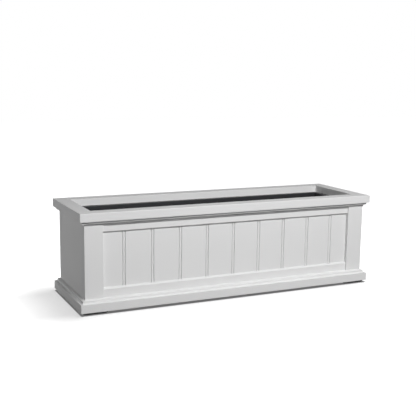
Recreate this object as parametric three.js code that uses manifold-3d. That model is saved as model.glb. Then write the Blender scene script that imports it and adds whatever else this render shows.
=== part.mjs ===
// A long window box planter of white foamed-plastic boards. The front is a frame of posts and rails
// round tongue-and-groove beaded boards, the ends and the back are plain boards, and a mitred cap,
// a bed mould and a base skirt run round all four sides. A plastic liner with a raised drainage
// platform and two drain plugs hangs inside.
//
// Millimetres. X runs along the box, the front faces -Y and Z points up from the floor.
import * as THREE from 'three';
import { mergeVertices } from 'three/addons/utils/BufferGeometryUtils.js';
import Module from 'manifold-3d';

const wasm = await Module();
wasm.setup();

// ---------------------------------------------------------------- driving dimensions

// Overall plan, taken over the cap, and the heights that add up to the overall height.
const capLength = 914;
const capDepth = 279;
const footHeight = 7;
const bodyHeight = 244;
const capThickness = 23;

// Cap.
const capWidth = 41;
const capOverhang = 15;
const capOuterRound = 2;
const capInnerRound = 1.5;
const mitreGap = 0.3;

// Bed mould, under the cap.
const mouldHeight = 12;
const mouldProjection = 8;
const mouldFillet = 6.5;
const mouldToe = 1.2;

// Base skirt: a flat face, a hollow rising to a small step, and a sloping top.
const skirtProjection = 15;
const skirtHeight = 33;
const skirtFaceHeight = 23;
const skirtStepOut = 7.5;
const skirtStepDrop = 2.5;
const skirtStepHeight = 3.5;

// Walls and the front frame.
const wallThickness = 20;
const postWidth = 52;
const railRecess = 4;
const topRailReveal = 22;
const bottomRailReveal = 26;
const topRailBevel = 3;
const topRailBevelRise = 3;
const bottomRailBevel = 3;
const bottomRailBevelDrop = 4;

// Beaded boards.
const boardPitch = 82.6;
const boardThickness = 7;
const boardRecess = 10;
const boardInsert = 10;
const narrowestEndBoard = 25;
const beadWidth = 6.2;
const quirkWidth = 2.2;
const quirkDepth = 3;
const quirkSlope = 0.5;
const tongueFromFace = 4.5;
const tongueThickness = 1.8;
const tongueLength = 4;

// Clearances.
const fit = 0.3;
const endGap = 0.5;

// Joinery of the cap.
const dowelDiameter = 8;
const dowelInCap = 12;
const dowelInPost = 18;
const dowelFromGroove = 11.5;
const splineThickness = 2.4;
const splineAcross = 24;
const splineAlong = 26;

// Floor, inside the skirt.
const battenWidth = 30;
const battenHeight = 20;
const endBattenInset = 52;
const floorThickness = 12;
const floorSlot = 16;

// Feet and their screws.
const footLength = 75;
const footWidth = 50;
const footInset = 4;
const footTaper = 5;
const footCorner = 6;
const counterboreDepth = 4;
const screwDiameter = 4;
const screwHeadDiameter = 8.4;
const screwHeadHeight = 2.6;
const screwLength = 34;

// Liner, which hangs by its lip.
const lipGap = 1;
const lipBearing = 7;
const lipThickness = 3;
const ledgeHeight = 20;
const linerGap = 2;
const linerWall = 3;
const linerDraft = 3;
const linerCorner = 10;
const linerClearanceBelow = 3;
const drainDiameter = 20;
const drainInset = 106;

// Drainage platform, which stands in the liner.
const reservoirHeight = 42;
const platformThickness = 3;
const platformGap = 2;
const legDiameter = 28;
const legTaper = 4;
const legWall = 2.5;
const legEndInset = 98;
const legFrontInset = 39;
const widestLegPitch = 320;
const slotLength = 40;
const slotWidth = 7;
const slotPitch = 60;
const slotRowFromMiddle = 20;
const slotRowFromEdge = 21;
const slotFromLeg = 2;
const slotFromEnd = 10;

// Drain plugs.
const plugFlangeDiameter = 30;
const plugFlangeThickness = 2.5;
const plugTaper = 0.7;
const plugReach = 4.2;
const plugGripDiameter = 12;
const plugGripWaist = 8;
const plugGripHeight = 11;

// Smoothness of round shapes.
const roundSteps = 4;
const beadSteps = 8;
const cornerSteps = 5;
const turnedSides = 16;

// ---------------------------------------------------------------- levels and planes

const bodyTop = footHeight + bodyHeight;
const capTop = bodyTop + capThickness;
const skirtTop = footHeight + skirtHeight;
const mouldBottom = bodyTop - mouldHeight;
const panelTop = mouldBottom - topRailReveal;
const panelBottom = skirtTop + bottomRailReveal;

const bodyX = capLength / 2 - capOverhang;
const bodyY = capDepth / 2 - capOverhang;
const innerX = bodyX - wallThickness;
const innerY = bodyY - wallThickness;
const capInnerX = capLength / 2 - capWidth;
const capInnerY = capDepth / 2 - capWidth;
const panelHalf = bodyX - postWidth;

const railFace = bodyY - railRecess;
const boardFace = bodyY - boardRecess;
const boardBack = boardFace - boardThickness;
const grooveDepth = boardInsert + endGap;

const lipX = capInnerX - lipGap;
const lipY = capInnerY - lipGap;
const ledgeX = lipX - lipBearing;
const ledgeY = lipY - lipBearing;
const floorTop = footHeight + battenHeight + floorThickness;
const linerBottom = floorTop + linerClearanceBelow;
const linerFloor = linerBottom + linerWall;
const linerTop = bodyTop + lipThickness;
const linerX = ledgeX - linerGap;
const linerY = ledgeY - linerGap;
const drainX = linerX - drainInset;

// ---------------------------------------------------------------- materials

const boardWhite = new THREE.MeshStandardMaterial({ color: 0xe4e4e2, roughness: 0.45, metalness: 0 });
const linerBlack = new THREE.MeshStandardMaterial({ color: 0x26282a, roughness: 0.55, metalness: 0 });
const platformGrey = new THREE.MeshStandardMaterial({ color: 0x3c4043, roughness: 0.6, metalness: 0 });
const plugRubber = new THREE.MeshStandardMaterial({ color: 0x161616, roughness: 0.8, metalness: 0 });
const footGrey = new THREE.MeshStandardMaterial({ color: 0x8d8f90, roughness: 0.6, metalness: 0 });
const screwSteel = new THREE.MeshStandardMaterial({ color: 0xb9bcc0, roughness: 0.35, metalness: 1 });

// ---------------------------------------------------------------- geometry helpers

// The four sides of the box: the turn from the front, and the half length and setback of that side.
const sides = {
  front: { turn: 0, halfRun: bodyX, setback: bodyY },
  right: { turn: Math.PI / 2, halfRun: bodyY, setback: bodyX },
  back: { turn: Math.PI, halfRun: bodyX, setback: bodyY },
  left: { turn: -Math.PI / 2, halfRun: bodyY, setback: bodyX },
};

// The four corners, as signs of X and Y.
const corners = {
  front_left: [-1, -1],
  front_right: [1, -1],
  back_left: [-1, 1],
  back_right: [1, 1],
};

function mesh(name, geometry, material) {
  const made = new THREE.Mesh(geometry, material);
  made.name = name;
  return made;
}

// Moves the two ends of a straight solid that is centred on the origin to low and high along an
// axis, numbered 0 to 2. Pieces that meet at one value then meet exactly.
function setEnds(geometry, axis, [low, high]) {
  const position = geometry.getAttribute('position');
  for (let i = 0; i < position.count; i++) {
    position.setComponent(i, axis, position.getComponent(i, axis) > 0 ? high : low);
  }
  return geometry;
}

function block(xEnds, yEnds, zEnds) {
  const geometry = new THREE.BoxGeometry(1, 1, 1);
  [xEnds, yEnds, zEnds].forEach((ends, axis) => setEnds(geometry, axis, ends));
  return geometry;
}

// The span between a and b times a sign, in rising order.
function span(sign, a, b) {
  return sign > 0 ? [a, b] : [-b, -a];
}

function polygon(points) {
  return new THREE.Shape(points.map(([x, y]) => new THREE.Vector2(x, y)));
}

// An outline in plan, raised from z0 to z1.
function raise(shape, z0, z1) {
  const geometry = new THREE.ExtrudeGeometry(shape, { depth: 1, bevelEnabled: false });
  return setEnds(geometry.translate(0, 0, -0.5), 2, [z0, z1]);
}

// An upright cylinder, or a cone where the two radii differ.
function upright([x, y], heights, topRadius, bottomRadius = topRadius) {
  const geometry = new THREE.CylinderGeometry(topRadius, bottomRadius, 1, turnedSides);
  return setEnds(geometry.rotateX(Math.PI / 2), 2, heights).translate(x, y, 0);
}

// A turned piece about the vertical line through (x, y), from [radius, height] points.
function turned([x, y], points) {
  const geometry = new THREE.LatheGeometry(
    points.map(([radius, height]) => new THREE.Vector2(radius, height)),
    turnedSides,
  );
  return geometry.rotateX(Math.PI / 2).translate(x, y, 0);
}

function toSolid(geometry) {
  const bare = geometry.clone();
  bare.deleteAttribute('normal');
  bare.deleteAttribute('uv');
  const merged = mergeVertices(bare, 1e-4);
  return new wasm.Manifold(
    new wasm.Mesh({
      numProp: 3,
      vertProperties: merged.attributes.position.array,
      triVerts: new Uint32Array(merged.index.array),
    }),
  );
}

function toGeometry(solid) {
  const { vertProperties, triVerts } = solid.getMesh();
  const geometry = new THREE.BufferGeometry();
  geometry.setAttribute('position', new THREE.BufferAttribute(vertProperties, 3));
  geometry.setIndex(new THREE.BufferAttribute(triVerts, 1));
  geometry.computeVertexNormals();
  return geometry;
}

function cut(geometry, ...tools) {
  return toGeometry(tools.reduce((solid, tool) => solid.subtract(toSolid(tool)), toSolid(geometry)));
}

function join(geometry, ...others) {
  return toGeometry(others.reduce((solid, other) => solid.add(toSolid(other)), toSolid(geometry)));
}

// A level ring of points: a rectangle with round corners.
function ring({ x, y, corner, z }) {
  const points = [];
  const centres = [
    [x - corner, y - corner, 0],
    [corner - x, y - corner, Math.PI / 2],
    [corner - x, corner - y, Math.PI],
    [x - corner, corner - y, -Math.PI / 2],
  ];
  for (const [centreX, centreY, start] of centres) {
    for (let step = 0; step <= cornerSteps; step++) {
      const angle = start + ((Math.PI / 2) * step) / cornerSteps;
      points.push([centreX + corner * Math.cos(angle), centreY + corner * Math.sin(angle), z]);
    }
  }
  return points;
}

// A closed skin over level rings of equal point counts, flat across the first and the last.
function loft(levels) {
  const rings = levels.map(ring);
  const count = rings[0].length;
  const triangles = [];
  for (let level = 0; level + 1 < rings.length; level++) {
    for (let i = 0; i < count; i++) {
      const [a, b] = [level * count + i, level * count + ((i + 1) % count)];
      triangles.push(a, b, b + count, a, b + count, a + count);
    }
  }
  const last = (rings.length - 1) * count;
  for (let i = 1; i + 1 < count; i++) {
    triangles.push(0, i + 1, i, last, last + i, last + i + 1);
  }
  const geometry = new THREE.BufferGeometry();
  geometry.setAttribute('position', new THREE.Float32BufferAttribute(rings.flat(2), 3));
  geometry.setIndex(triangles);
  geometry.computeVertexNormals();
  return geometry;
}

// One side of a four-sided frame round the body, with its ends mitred. The profile's x is the
// distance outwards from the body's face, and its y is the height.
function mitredRail(profile, { halfRun, setback }) {
  const geometry = new THREE.ExtrudeGeometry(profile, {
    depth: 1,
    bevelEnabled: false,
    curveSegments: roundSteps,
  });
  const position = geometry.getAttribute('position');
  const trim = mitreGap / Math.SQRT2;
  for (let i = 0; i < position.count; i++) {
    const outward = position.getX(i);
    const end = position.getZ(i) > 0.5 ? -1 : 1;
    position.setXYZ(i, end * (halfRun + outward - trim), -(setback + outward), position.getY(i));
  }
  geometry.computeVertexNormals();
  return geometry;
}

// ---------------------------------------------------------------- cap

function capProfile() {
  const [inside, outside] = [capOverhang - capWidth, capOverhang];
  const profile = new THREE.Shape();
  profile.moveTo(inside, bodyTop);
  profile.lineTo(outside, bodyTop);
  profile.lineTo(outside, capTop - capOuterRound);
  profile.absarc(outside - capOuterRound, capTop - capOuterRound, capOuterRound, 0, Math.PI / 2);
  profile.lineTo(inside + capInnerRound, capTop);
  profile.absarc(inside + capInnerRound, capTop - capInnerRound, capInnerRound, Math.PI / 2, Math.PI);
  profile.closePath();
  return profile;
}

const splineZ = bodyTop + capThickness / 2;
const splineFromFace = capOverhang - capWidth / 2;

// A flat key across the mitre, turned to lie square to it, grown all round by a clearance.
function splineKey(x, y, turn, clearance = 0) {
  const grown = 2 * clearance;
  const key = new THREE.BoxGeometry(splineAcross + grown, splineAlong + grown, splineThickness + grown);
  return key.rotateZ(turn).translate(x, y, splineZ);
}

const dowelX = panelHalf + grooveDepth + dowelFromGroove;
const dowelY = bodyY - wallThickness / 2;

function dowelHole([signX, signY], z0, z1) {
  return upright([signX * dowelX, signY * dowelY], [z0, z1], dowelDiameter / 2 + fit);
}

function capRail(side) {
  const { halfRun, setback } = side;
  const tools = [-1, 1].map((end) =>
    splineKey(end * (halfRun + splineFromFace), -(setback + splineFromFace), (end * Math.PI) / 4, fit),
  );
  // The dowels stand in the front and the back, the two long sides.
  if (side === sides.front || side === sides.back) {
    tools.push(...[-1, 1].map((end) => dowelHole([end, -1], bodyTop - 1, bodyTop + dowelInCap + endGap)));
  }
  return cut(mitredRail(capProfile(), side), ...tools);
}

function capSpline([signX, signY]) {
  return splineKey(
    signX * (bodyX + splineFromFace),
    signY * (bodyY + splineFromFace),
    (-signX * signY * Math.PI) / 4,
  );
}

function capDowel([signX, signY]) {
  const ends = [bodyTop - dowelInPost, bodyTop + dowelInCap];
  return upright([signX * dowelX, signY * dowelY], ends, dowelDiameter / 2);
}

// ---------------------------------------------------------------- bed mould and skirt

function mouldProfile() {
  const filletBottom = bodyTop - mouldFillet;
  const profile = new THREE.Shape();
  profile.moveTo(0, bodyTop);
  profile.lineTo(0, mouldBottom);
  profile.lineTo(mouldToe, mouldBottom);
  profile.quadraticCurveTo(mouldToe, filletBottom, mouldProjection, filletBottom);
  profile.lineTo(mouldProjection, bodyTop);
  profile.closePath();
  return profile;
}

function skirtProfile() {
  const faceTop = footHeight + skirtFaceHeight;
  const stepTop = skirtTop - skirtStepDrop;
  const stepBottom = stepTop - skirtStepHeight;
  const profile = new THREE.Shape();
  profile.moveTo(0, footHeight);
  profile.lineTo(skirtProjection, footHeight);
  profile.lineTo(skirtProjection, faceTop);
  profile.quadraticCurveTo(skirtStepOut, faceTop, skirtStepOut, stepBottom);
  profile.lineTo(skirtStepOut, stepTop);
  profile.lineTo(0, skirtTop);
  profile.closePath();
  return profile;
}

// ---------------------------------------------------------------- front frame

// A front corner post, grooved down its inner edge for the boards and the rails' tenons.
function frontPost(signX) {
  const grooveBottom = panelHalf + grooveDepth;
  const outline = [
    [bodyX, bodyY],
    [panelHalf, bodyY],
    [panelHalf, boardFace + fit],
    [grooveBottom, boardFace + fit],
    [grooveBottom, boardBack - fit],
    [panelHalf, boardBack - fit],
    [panelHalf, innerY],
    [bodyX, innerY],
  ].map(([x, y]) => [signX * x, -y]);
  return cut(
    raise(polygon(outline), footHeight, bodyTop),
    dowelHole([signX, -1], bodyTop - dowelInPost - endGap, bodyTop + 1),
  );
}

// A front rail from its end section, given as [distance from the middle plane, height] points. It
// is cut back at both ends to tenons of the boards' thickness between the heights of tenonZ.
function frontRail(section, tenonZ) {
  const length = 2 * (panelHalf + boardInsert);
  const rail = new THREE.ExtrudeGeometry(polygon(section.map(([y, z]) => [y, z])), {
    depth: length,
    bevelEnabled: false,
  });
  // The section's x, its distance from the middle plane, turns to -Y, and its length to X.
  rail.applyMatrix4(new THREE.Matrix4().set(0, 0, -1, length / 2, -1, 0, 0, 0, 0, 1, 0, 0, 0, 0, 0, 1));
  const beyond = boardInsert + 1;
  const heights = section.map(([, z]) => z);
  const [low, high] = [Math.min(...heights) - 1, Math.max(...heights) + 1];
  const shoulders = [-1, 1].flatMap((end) => {
    const run = span(end, panelHalf, panelHalf + beyond);
    return [
      block(run, [-bodyY - 1, -boardFace], [low, high]),
      block(run, [-boardBack, -innerY + 1], [low, high]),
      block(run, [-bodyY - 1, -innerY + 1], [low, tenonZ[0]]),
      block(run, [-bodyY - 1, -innerY + 1], [tenonZ[1], high]),
    ];
  });
  return cut(rail, ...shoulders);
}

function topRail() {
  const grooveTop = panelTop + grooveDepth;
  const section = [
    [innerY, panelTop],
    [boardBack - fit, panelTop],
    [boardBack - fit, grooveTop],
    [boardFace + fit, grooveTop],
    [boardFace + fit, panelTop],
    [railFace - topRailBevel, panelTop],
    [railFace, panelTop + topRailBevelRise],
    [railFace, mouldBottom],
    [bodyY, mouldBottom],
    [bodyY, bodyTop],
    [innerY, bodyTop],
  ];
  return frontRail(section, [grooveTop + fit, bodyTop - endGap]);
}

function bottomRail() {
  const grooveBottom = panelBottom - grooveDepth;
  const section = [
    [innerY, footHeight],
    [bodyY, footHeight],
    [bodyY, skirtTop],
    [railFace, skirtTop],
    [railFace, panelBottom - bottomRailBevelDrop],
    [railFace - bottomRailBevel, panelBottom],
    [boardFace + fit, panelBottom],
    [boardFace + fit, grooveBottom],
    [boardBack - fit, grooveBottom],
    [boardBack - fit, panelBottom],
    [innerY, panelBottom],
  ];
  return frontRail(section, [footHeight + endGap, grooveBottom - fit]);
}

// The joints between boards stand a pitch apart either side of the middle, and each has its bead.
const jointsEachSide = Math.floor((panelHalf - narrowestEndBoard) / boardPitch);
const joints = Array.from({ length: 2 * jointsEachSide + 1 }, (_, i) => (i - jointsEachSide) * boardPitch);
const beadRadius = beadWidth / 2;
const tongueMiddle = boardFace - tongueFromFace;

// The grooved right edge of a board, from its face round to its back, with a quirk and a bead.
function beadedEdge(joint) {
  const quirk = joint - beadRadius - quirkWidth;
  const points = [
    [quirk, boardFace],
    [quirk + quirkSlope, boardFace - quirkDepth],
  ];
  const start = Math.asin((beadRadius - quirkDepth) / beadRadius);
  const beadMiddle = boardFace - beadRadius;
  for (let step = 0; step <= beadSteps; step++) {
    const angle = Math.PI - start - ((Math.PI - 2 * start) * step) / beadSteps;
    points.push([joint + beadRadius * Math.cos(angle), beadMiddle + beadRadius * Math.sin(angle)]);
  }
  const edge = joint + beadRadius;
  const bottom = edge - tongueLength - endGap;
  const front = tongueMiddle + tongueThickness / 2 + fit;
  const back = tongueMiddle - tongueThickness / 2 - fit;
  points.push([edge, beadMiddle], [edge, front], [bottom, front], [bottom, back], [edge, back]);
  points.push([edge, boardBack]);
  return points;
}

// The tongued left edge of a board, from its back round to its face, with the quirk's other half.
function tonguedEdge(joint) {
  const edge = joint + beadRadius + fit;
  const [front, back] = [tongueMiddle + tongueThickness / 2, tongueMiddle - tongueThickness / 2];
  return [
    [edge, boardBack],
    [edge, back],
    [edge - tongueLength, back],
    [edge - tongueLength, front],
    [edge, front],
    [edge, boardFace - quirkDepth],
    [edge + quirkWidth - fit - quirkSlope, boardFace - quirkDepth],
    [edge + quirkWidth - fit, boardFace],
  ];
}

function beadBoard(index) {
  const end = panelHalf + boardInsert;
  const right = index < joints.length ? beadedEdge(joints[index]) : [[end, boardFace], [end, boardBack]];
  const left = index > 0 ? tonguedEdge(joints[index - 1]) : [[-end, boardBack], [-end, boardFace]];
  const outline = [...right, ...left].map(([x, y]) => [x, -y]);
  return raise(polygon(outline), panelBottom - boardInsert, panelTop + boardInsert);
}

// ---------------------------------------------------------------- plain walls and inner pieces

function endBoard(signX) {
  return block(span(signX, innerX, bodyX), [-innerY, innerY], [footHeight, bodyTop]);
}

function backBoard() {
  return cut(
    block([-bodyX, bodyX], [innerY, bodyY], [footHeight, bodyTop]),
    ...[-1, 1].map((signX) => dowelHole([signX, 1], bodyTop - dowelInPost - endGap, bodyTop + 1)),
  );
}

const screwX = (innerX + ledgeX) / 2;
const screwY = (innerY + ledgeY) / 2;
const headSeat = counterboreDepth;

function screwHole([signX, signY], z0, z1) {
  return upright([signX * screwX, signY * screwY], [z0, z1], screwDiameter / 2 + fit);
}

// A square block in each inner corner. It ties the walls together and takes the foot's screw.
function cornerBlock(corner) {
  const [signX, signY] = corner;
  return cut(
    block(span(signX, ledgeX, innerX), span(signY, ledgeY, innerY), [footHeight, bodyTop]),
    screwHole(corner, footHeight - 1, headSeat + screwLength + endGap),
  );
}

// The ledge along each long wall that the liner's lip hangs on.
function linerLedge(signY) {
  const end = ledgeX - endGap;
  return block([-end, end], span(signY, ledgeY, innerY), [bodyTop - ledgeHeight, bodyTop]);
}

const battenPlaces = {
  left: -(innerX - endBattenInset),
  middle: 0,
  right: innerX - endBattenInset,
};

function floorBatten(x) {
  const half = battenWidth / 2;
  return block([x - half, x + half], [-innerY, innerY], [footHeight, footHeight + battenHeight]);
}

function floorBoard(signY) {
  const end = ledgeX - endGap;
  const across = span(signY, floorSlot / 2, innerY - endGap);
  return block([-end, end], across, [floorTop - floorThickness, floorTop]);
}

// ---------------------------------------------------------------- feet

function foot(corner) {
  const [signX, signY] = corner;
  const [halfX, halfY] = [footLength / 2, footWidth / 2];
  const pad = loft([
    { x: halfX - footTaper, y: halfY - footTaper, corner: footCorner, z: 0 },
    { x: halfX, y: halfY, corner: footCorner, z: footHeight },
  ]);
  const outerX = bodyX + skirtProjection - footInset;
  const outerY = bodyY + skirtProjection - footInset;
  pad.translate(signX * (outerX - halfX), signY * (outerY - halfY), 0);
  const counterbore = upright(
    [signX * screwX, signY * screwY],
    [-1, counterboreDepth],
    screwHeadDiameter / 2 + 2 * fit,
  );
  return cut(pad, counterbore, screwHole(corner, 0, footHeight + 1));
}

function footScrew([signX, signY]) {
  const tip = headSeat + screwLength;
  const [shank, head] = [screwDiameter / 2, screwHeadDiameter / 2];
  const headBottom = headSeat - screwHeadHeight;
  return turned([signX * screwX, signY * screwY], [
    [0, headBottom],
    [head - shank / 2, headBottom],
    [head, headBottom + shank / 2],
    [head, headSeat],
    [shank, headSeat],
    [shank, tip - 2 * shank],
    [0, tip],
  ]);
}

// ---------------------------------------------------------------- liner and what stands in it

// Half the liner's outer length or width at a height, which narrows downwards by the draft.
function linerHalf(topHalf, z) {
  return topHalf - (linerDraft * (bodyTop - z)) / (bodyTop - linerBottom);
}

function liner() {
  const outer = (z) => ({ x: linerHalf(linerX, z), y: linerHalf(linerY, z), corner: linerCorner, z });
  const inner = (z) => ({
    x: linerHalf(linerX, z) - linerWall,
    y: linerHalf(linerY, z) - linerWall,
    corner: linerCorner - linerWall,
    z,
  });
  const lip = (z) => ({ x: lipX, y: lipY, corner: linerCorner, z });
  const tub = loft([
    outer(linerBottom),
    outer(bodyTop),
    lip(bodyTop),
    lip(linerTop),
    { ...inner(bodyTop), z: linerTop },
    inner(linerFloor),
  ]);
  const drains = [-1, 1].map((sign) =>
    upright([sign * drainX, 0], [linerBottom - 1, linerFloor + 1], drainDiameter / 2),
  );
  return cut(tub, ...drains);
}

const platformTop = linerFloor + reservoirHeight + platformThickness;
const platformX = linerHalf(linerX, linerFloor + reservoirHeight) - linerWall - platformGap;
const platformY = linerHalf(linerY, linerFloor + reservoirHeight) - linerWall - platformGap;

// Evenly spaced places from one end to the other, no further apart than the widest pitch.
function between(end, widestPitch) {
  const gaps = Math.ceil((2 * end) / widestPitch);
  return Array.from({ length: gaps + 1 }, (_, i) => end * ((2 * i) / gaps - 1));
}

const legColumns = between(platformX - legEndInset, widestLegPitch);
const legY = platformY - legFrontInset;
const legPlaces = legColumns.flatMap((x) => [-legY, legY].map((y) => [x, y]));

function platformLeg(place, plateBottom) {
  const [top, bottom] = [legDiameter / 2, (legDiameter - legTaper) / 2];
  const leg = upright(place, [linerFloor, plateBottom + platformThickness / 2], top, bottom);
  return cut(leg, upright(place, [linerFloor - 1, plateBottom], top - legWall, bottom - legWall));
}

// Places a pitch apart, as many as fit from low to high, in the middle of that stretch.
function fill(low, high, pitch) {
  const gaps = Math.floor((high - low) / pitch);
  const start = (low + high - gaps * pitch) / 2;
  return Array.from({ length: gaps + 1 }, (_, i) => start + i * pitch);
}

// Where the slots lie: in four rows, and in columns between the legs and out to both ends.
function slotPlaces() {
  const clear = (slotLength + legDiameter) / 2 + slotFromLeg;
  const end = platformX - slotLength / 2 - slotFromEnd;
  const lows = [-end, ...legColumns.map((x) => x + clear)];
  const highs = [...legColumns.map((x) => x - clear), end];
  const columns = lows.flatMap((low, i) => fill(low, highs[i], slotPitch));
  const rows = [slotRowFromMiddle, platformY - slotRowFromEdge].flatMap((y) => [-y, y]);
  return columns.flatMap((x) => rows.map((y) => [x, y]));
}

function drainagePlatform() {
  const corner = linerCorner - linerWall;
  const plateBottom = platformTop - platformThickness;
  const through = [plateBottom - 1, platformTop + 1];
  const plate = loft([
    { x: platformX, y: platformY, corner, z: plateBottom },
    { x: platformX, y: platformY, corner, z: platformTop },
  ]);
  const slots = slotPlaces().map(([x, y]) =>
    block([x - slotLength / 2, x + slotLength / 2], [y - slotWidth / 2, y + slotWidth / 2], through),
  );
  return join(cut(plate, ...slots), ...legPlaces.map((place) => platformLeg(place, plateBottom)));
}

function drainPlug(signX) {
  const stem = drainDiameter / 2 - fit;
  const flange = plugFlangeDiameter / 2;
  const flangeTop = linerFloor + plugFlangeThickness;
  const gripTop = flangeTop + plugGripHeight;
  const [grip, waist] = [plugGripDiameter / 2, plugGripWaist / 2];
  return turned([signX * drainX, 0], [
    [0, linerFloor - plugReach],
    [stem - plugTaper, linerFloor - plugReach],
    [stem, linerFloor],
    [flange, linerFloor],
    [flange, flangeTop],
    [waist, flangeTop + 1],
    [waist, gripTop - grip / 2],
    [grip, gripTop - grip / 2],
    [grip, gripTop - 1],
    [grip - 1, gripTop],
    [0, gripTop],
  ]);
}

// ---------------------------------------------------------------- assembly

const planter = new THREE.Group();

for (const [name, side] of Object.entries(sides)) {
  const turnedSide = new THREE.Group();
  turnedSide.rotation.z = side.turn;
  turnedSide.add(mesh(`cap_${name}`, capRail(side), boardWhite));
  turnedSide.add(mesh(`bed_mould_${name}`, mitredRail(mouldProfile(), side), boardWhite));
  turnedSide.add(mesh(`skirt_${name}`, mitredRail(skirtProfile(), side), boardWhite));
  planter.add(turnedSide);
}

for (const [name, sign] of [['left', -1], ['right', 1]]) {
  planter.add(mesh(`front_post_${name}`, frontPost(sign), boardWhite));
  planter.add(mesh(`end_board_${name}`, endBoard(sign), boardWhite));
}
planter.add(mesh('front_top_rail', topRail(), boardWhite));
planter.add(mesh('front_bottom_rail', bottomRail(), boardWhite));
for (let index = 0; index <= joints.length; index++) {
  const number = String(index + 1).padStart(2, '0');
  planter.add(mesh(`bead_board_${number}`, beadBoard(index), boardWhite));
}
planter.add(mesh('back_board', backBoard(), boardWhite));

for (const [name, corner] of Object.entries(corners)) {
  planter.add(mesh(`corner_block_${name}`, cornerBlock(corner), boardWhite));
  planter.add(mesh(`cap_spline_${name}`, capSpline(corner), boardWhite));
  planter.add(mesh(`cap_dowel_${name}`, capDowel(corner), boardWhite));
  planter.add(mesh(`foot_${name}`, foot(corner), footGrey));
  planter.add(mesh(`foot_screw_${name}`, footScrew(corner), screwSteel));
}

for (const [name, sign] of [['front', -1], ['back', 1]]) {
  planter.add(mesh(`liner_ledge_${name}`, linerLedge(sign), boardWhite));
  planter.add(mesh(`floor_board_${name}`, floorBoard(sign), boardWhite));
}
for (const [name, x] of Object.entries(battenPlaces)) {
  planter.add(mesh(`floor_batten_${name}`, floorBatten(x), boardWhite));
}

const linerGroup = new THREE.Group();
linerGroup.add(mesh('liner', liner(), linerBlack));
linerGroup.add(mesh('drainage_platform', drainagePlatform(), platformGrey));
linerGroup.add(mesh('drain_plug_left', drainPlug(-1), plugRubber));
linerGroup.add(mesh('drain_plug_right', drainPlug(1), plugRubber));
planter.add(linerGroup);

export default planter;
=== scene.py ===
"""Dresses the window box planter: painted boards, a moulded liner with its drainage platform and
plugs, feet, screws and a plain studio. Metres, X along the box, the front faces -Y, Z up."""

import math

import bmesh
import bpy
from bpy.props import FloatProperty, FloatVectorProperty, IntProperty, PointerProperty
from mathutils import Matrix, Vector


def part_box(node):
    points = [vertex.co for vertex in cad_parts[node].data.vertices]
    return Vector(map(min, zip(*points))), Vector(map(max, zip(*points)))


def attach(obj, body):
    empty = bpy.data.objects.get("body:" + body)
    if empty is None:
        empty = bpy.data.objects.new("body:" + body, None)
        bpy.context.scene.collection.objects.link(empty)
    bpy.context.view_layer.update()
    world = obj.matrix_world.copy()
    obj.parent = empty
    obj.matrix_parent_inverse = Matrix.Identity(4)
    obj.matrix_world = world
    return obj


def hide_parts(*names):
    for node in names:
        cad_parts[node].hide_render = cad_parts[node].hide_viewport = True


bl_info = {
    "name": "Window Box Planter",
    "version": (1, 0, 0),
    "blender": (4, 5, 0),
    "location": "3D View > Sidebar > Planter",
    "description": "Dresses the window box planter and its studio",
    "category": "Object",
}

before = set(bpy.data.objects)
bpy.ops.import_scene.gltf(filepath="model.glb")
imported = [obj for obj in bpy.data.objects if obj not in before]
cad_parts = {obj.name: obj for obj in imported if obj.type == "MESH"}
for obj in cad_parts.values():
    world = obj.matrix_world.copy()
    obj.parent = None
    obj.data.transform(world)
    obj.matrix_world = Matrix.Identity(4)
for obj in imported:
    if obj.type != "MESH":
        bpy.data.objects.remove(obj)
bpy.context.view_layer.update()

SIDES = ("front", "right", "back", "left")
CORNERS = ("front_left", "front_right", "back_left", "back_right")
MM = 0.001


# ---------------------------------------------------------------- sizes and colours


class PLANTER_PG_paint(bpy.types.PropertyGroup):
    """The white paint and the edges of the boards"""

    colour: FloatVectorProperty(
        name="Paint", description="Colour of the painted boards", subtype="COLOR",
        size=4, min=0, max=1, default=(0.80, 0.80, 0.80, 1),
    )
    bare_colour: FloatVectorProperty(
        name="Bare board", description="Colour of the unpainted boards inside", subtype="COLOR",
        size=4, min=0, max=1, default=(0.74, 0.74, 0.71, 1),
    )
    board_edge: FloatProperty(
        name="Board edge", description="Width of the eased edges of posts and walls",
        unit="LENGTH", min=0, default=0.9 * MM,
    )
    fine_edge: FloatProperty(
        name="Fine edge", description="Width of the eased edges of the cap, mouldings, rails and boards",
        unit="LENGTH", min=0, default=0.3 * MM,
    )
    brush_depth: FloatProperty(
        name="Brush depth", description="Depth of the brush marks in the paint",
        unit="LENGTH", min=0, default=0.12 * MM,
    )


class PLANTER_PG_plastic(bpy.types.PropertyGroup):
    """The liner, the drainage platform, the plugs and the feet"""

    liner_colour: FloatVectorProperty(
        name="Liner", description="Colour of the moulded liner", subtype="COLOR",
        size=4, min=0, max=1, default=(0.021, 0.022, 0.024, 1),
    )
    platform_colour: FloatVectorProperty(
        name="Platform", description="Colour of the drainage platform", subtype="COLOR",
        size=4, min=0, max=1, default=(0.046, 0.051, 0.056, 1),
    )
    plug_colour: FloatVectorProperty(
        name="Plug", description="Colour of the rubber drain plugs", subtype="COLOR",
        size=4, min=0, max=1, default=(0.010, 0.010, 0.010, 1),
    )
    foot_colour: FloatVectorProperty(
        name="Foot", description="Colour of the moulded feet", subtype="COLOR",
        size=4, min=0, max=1, default=(0.27, 0.275, 0.28, 1),
    )
    moulded_edge: FloatProperty(
        name="Moulded edge", description="Radius of the edges of the moulded pieces",
        unit="LENGTH", min=0, default=0.5 * MM,
    )
    turned_sides: IntProperty(
        name="Turned sides", description="Facets round a turned piece", min=12, default=48,
    )


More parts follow.
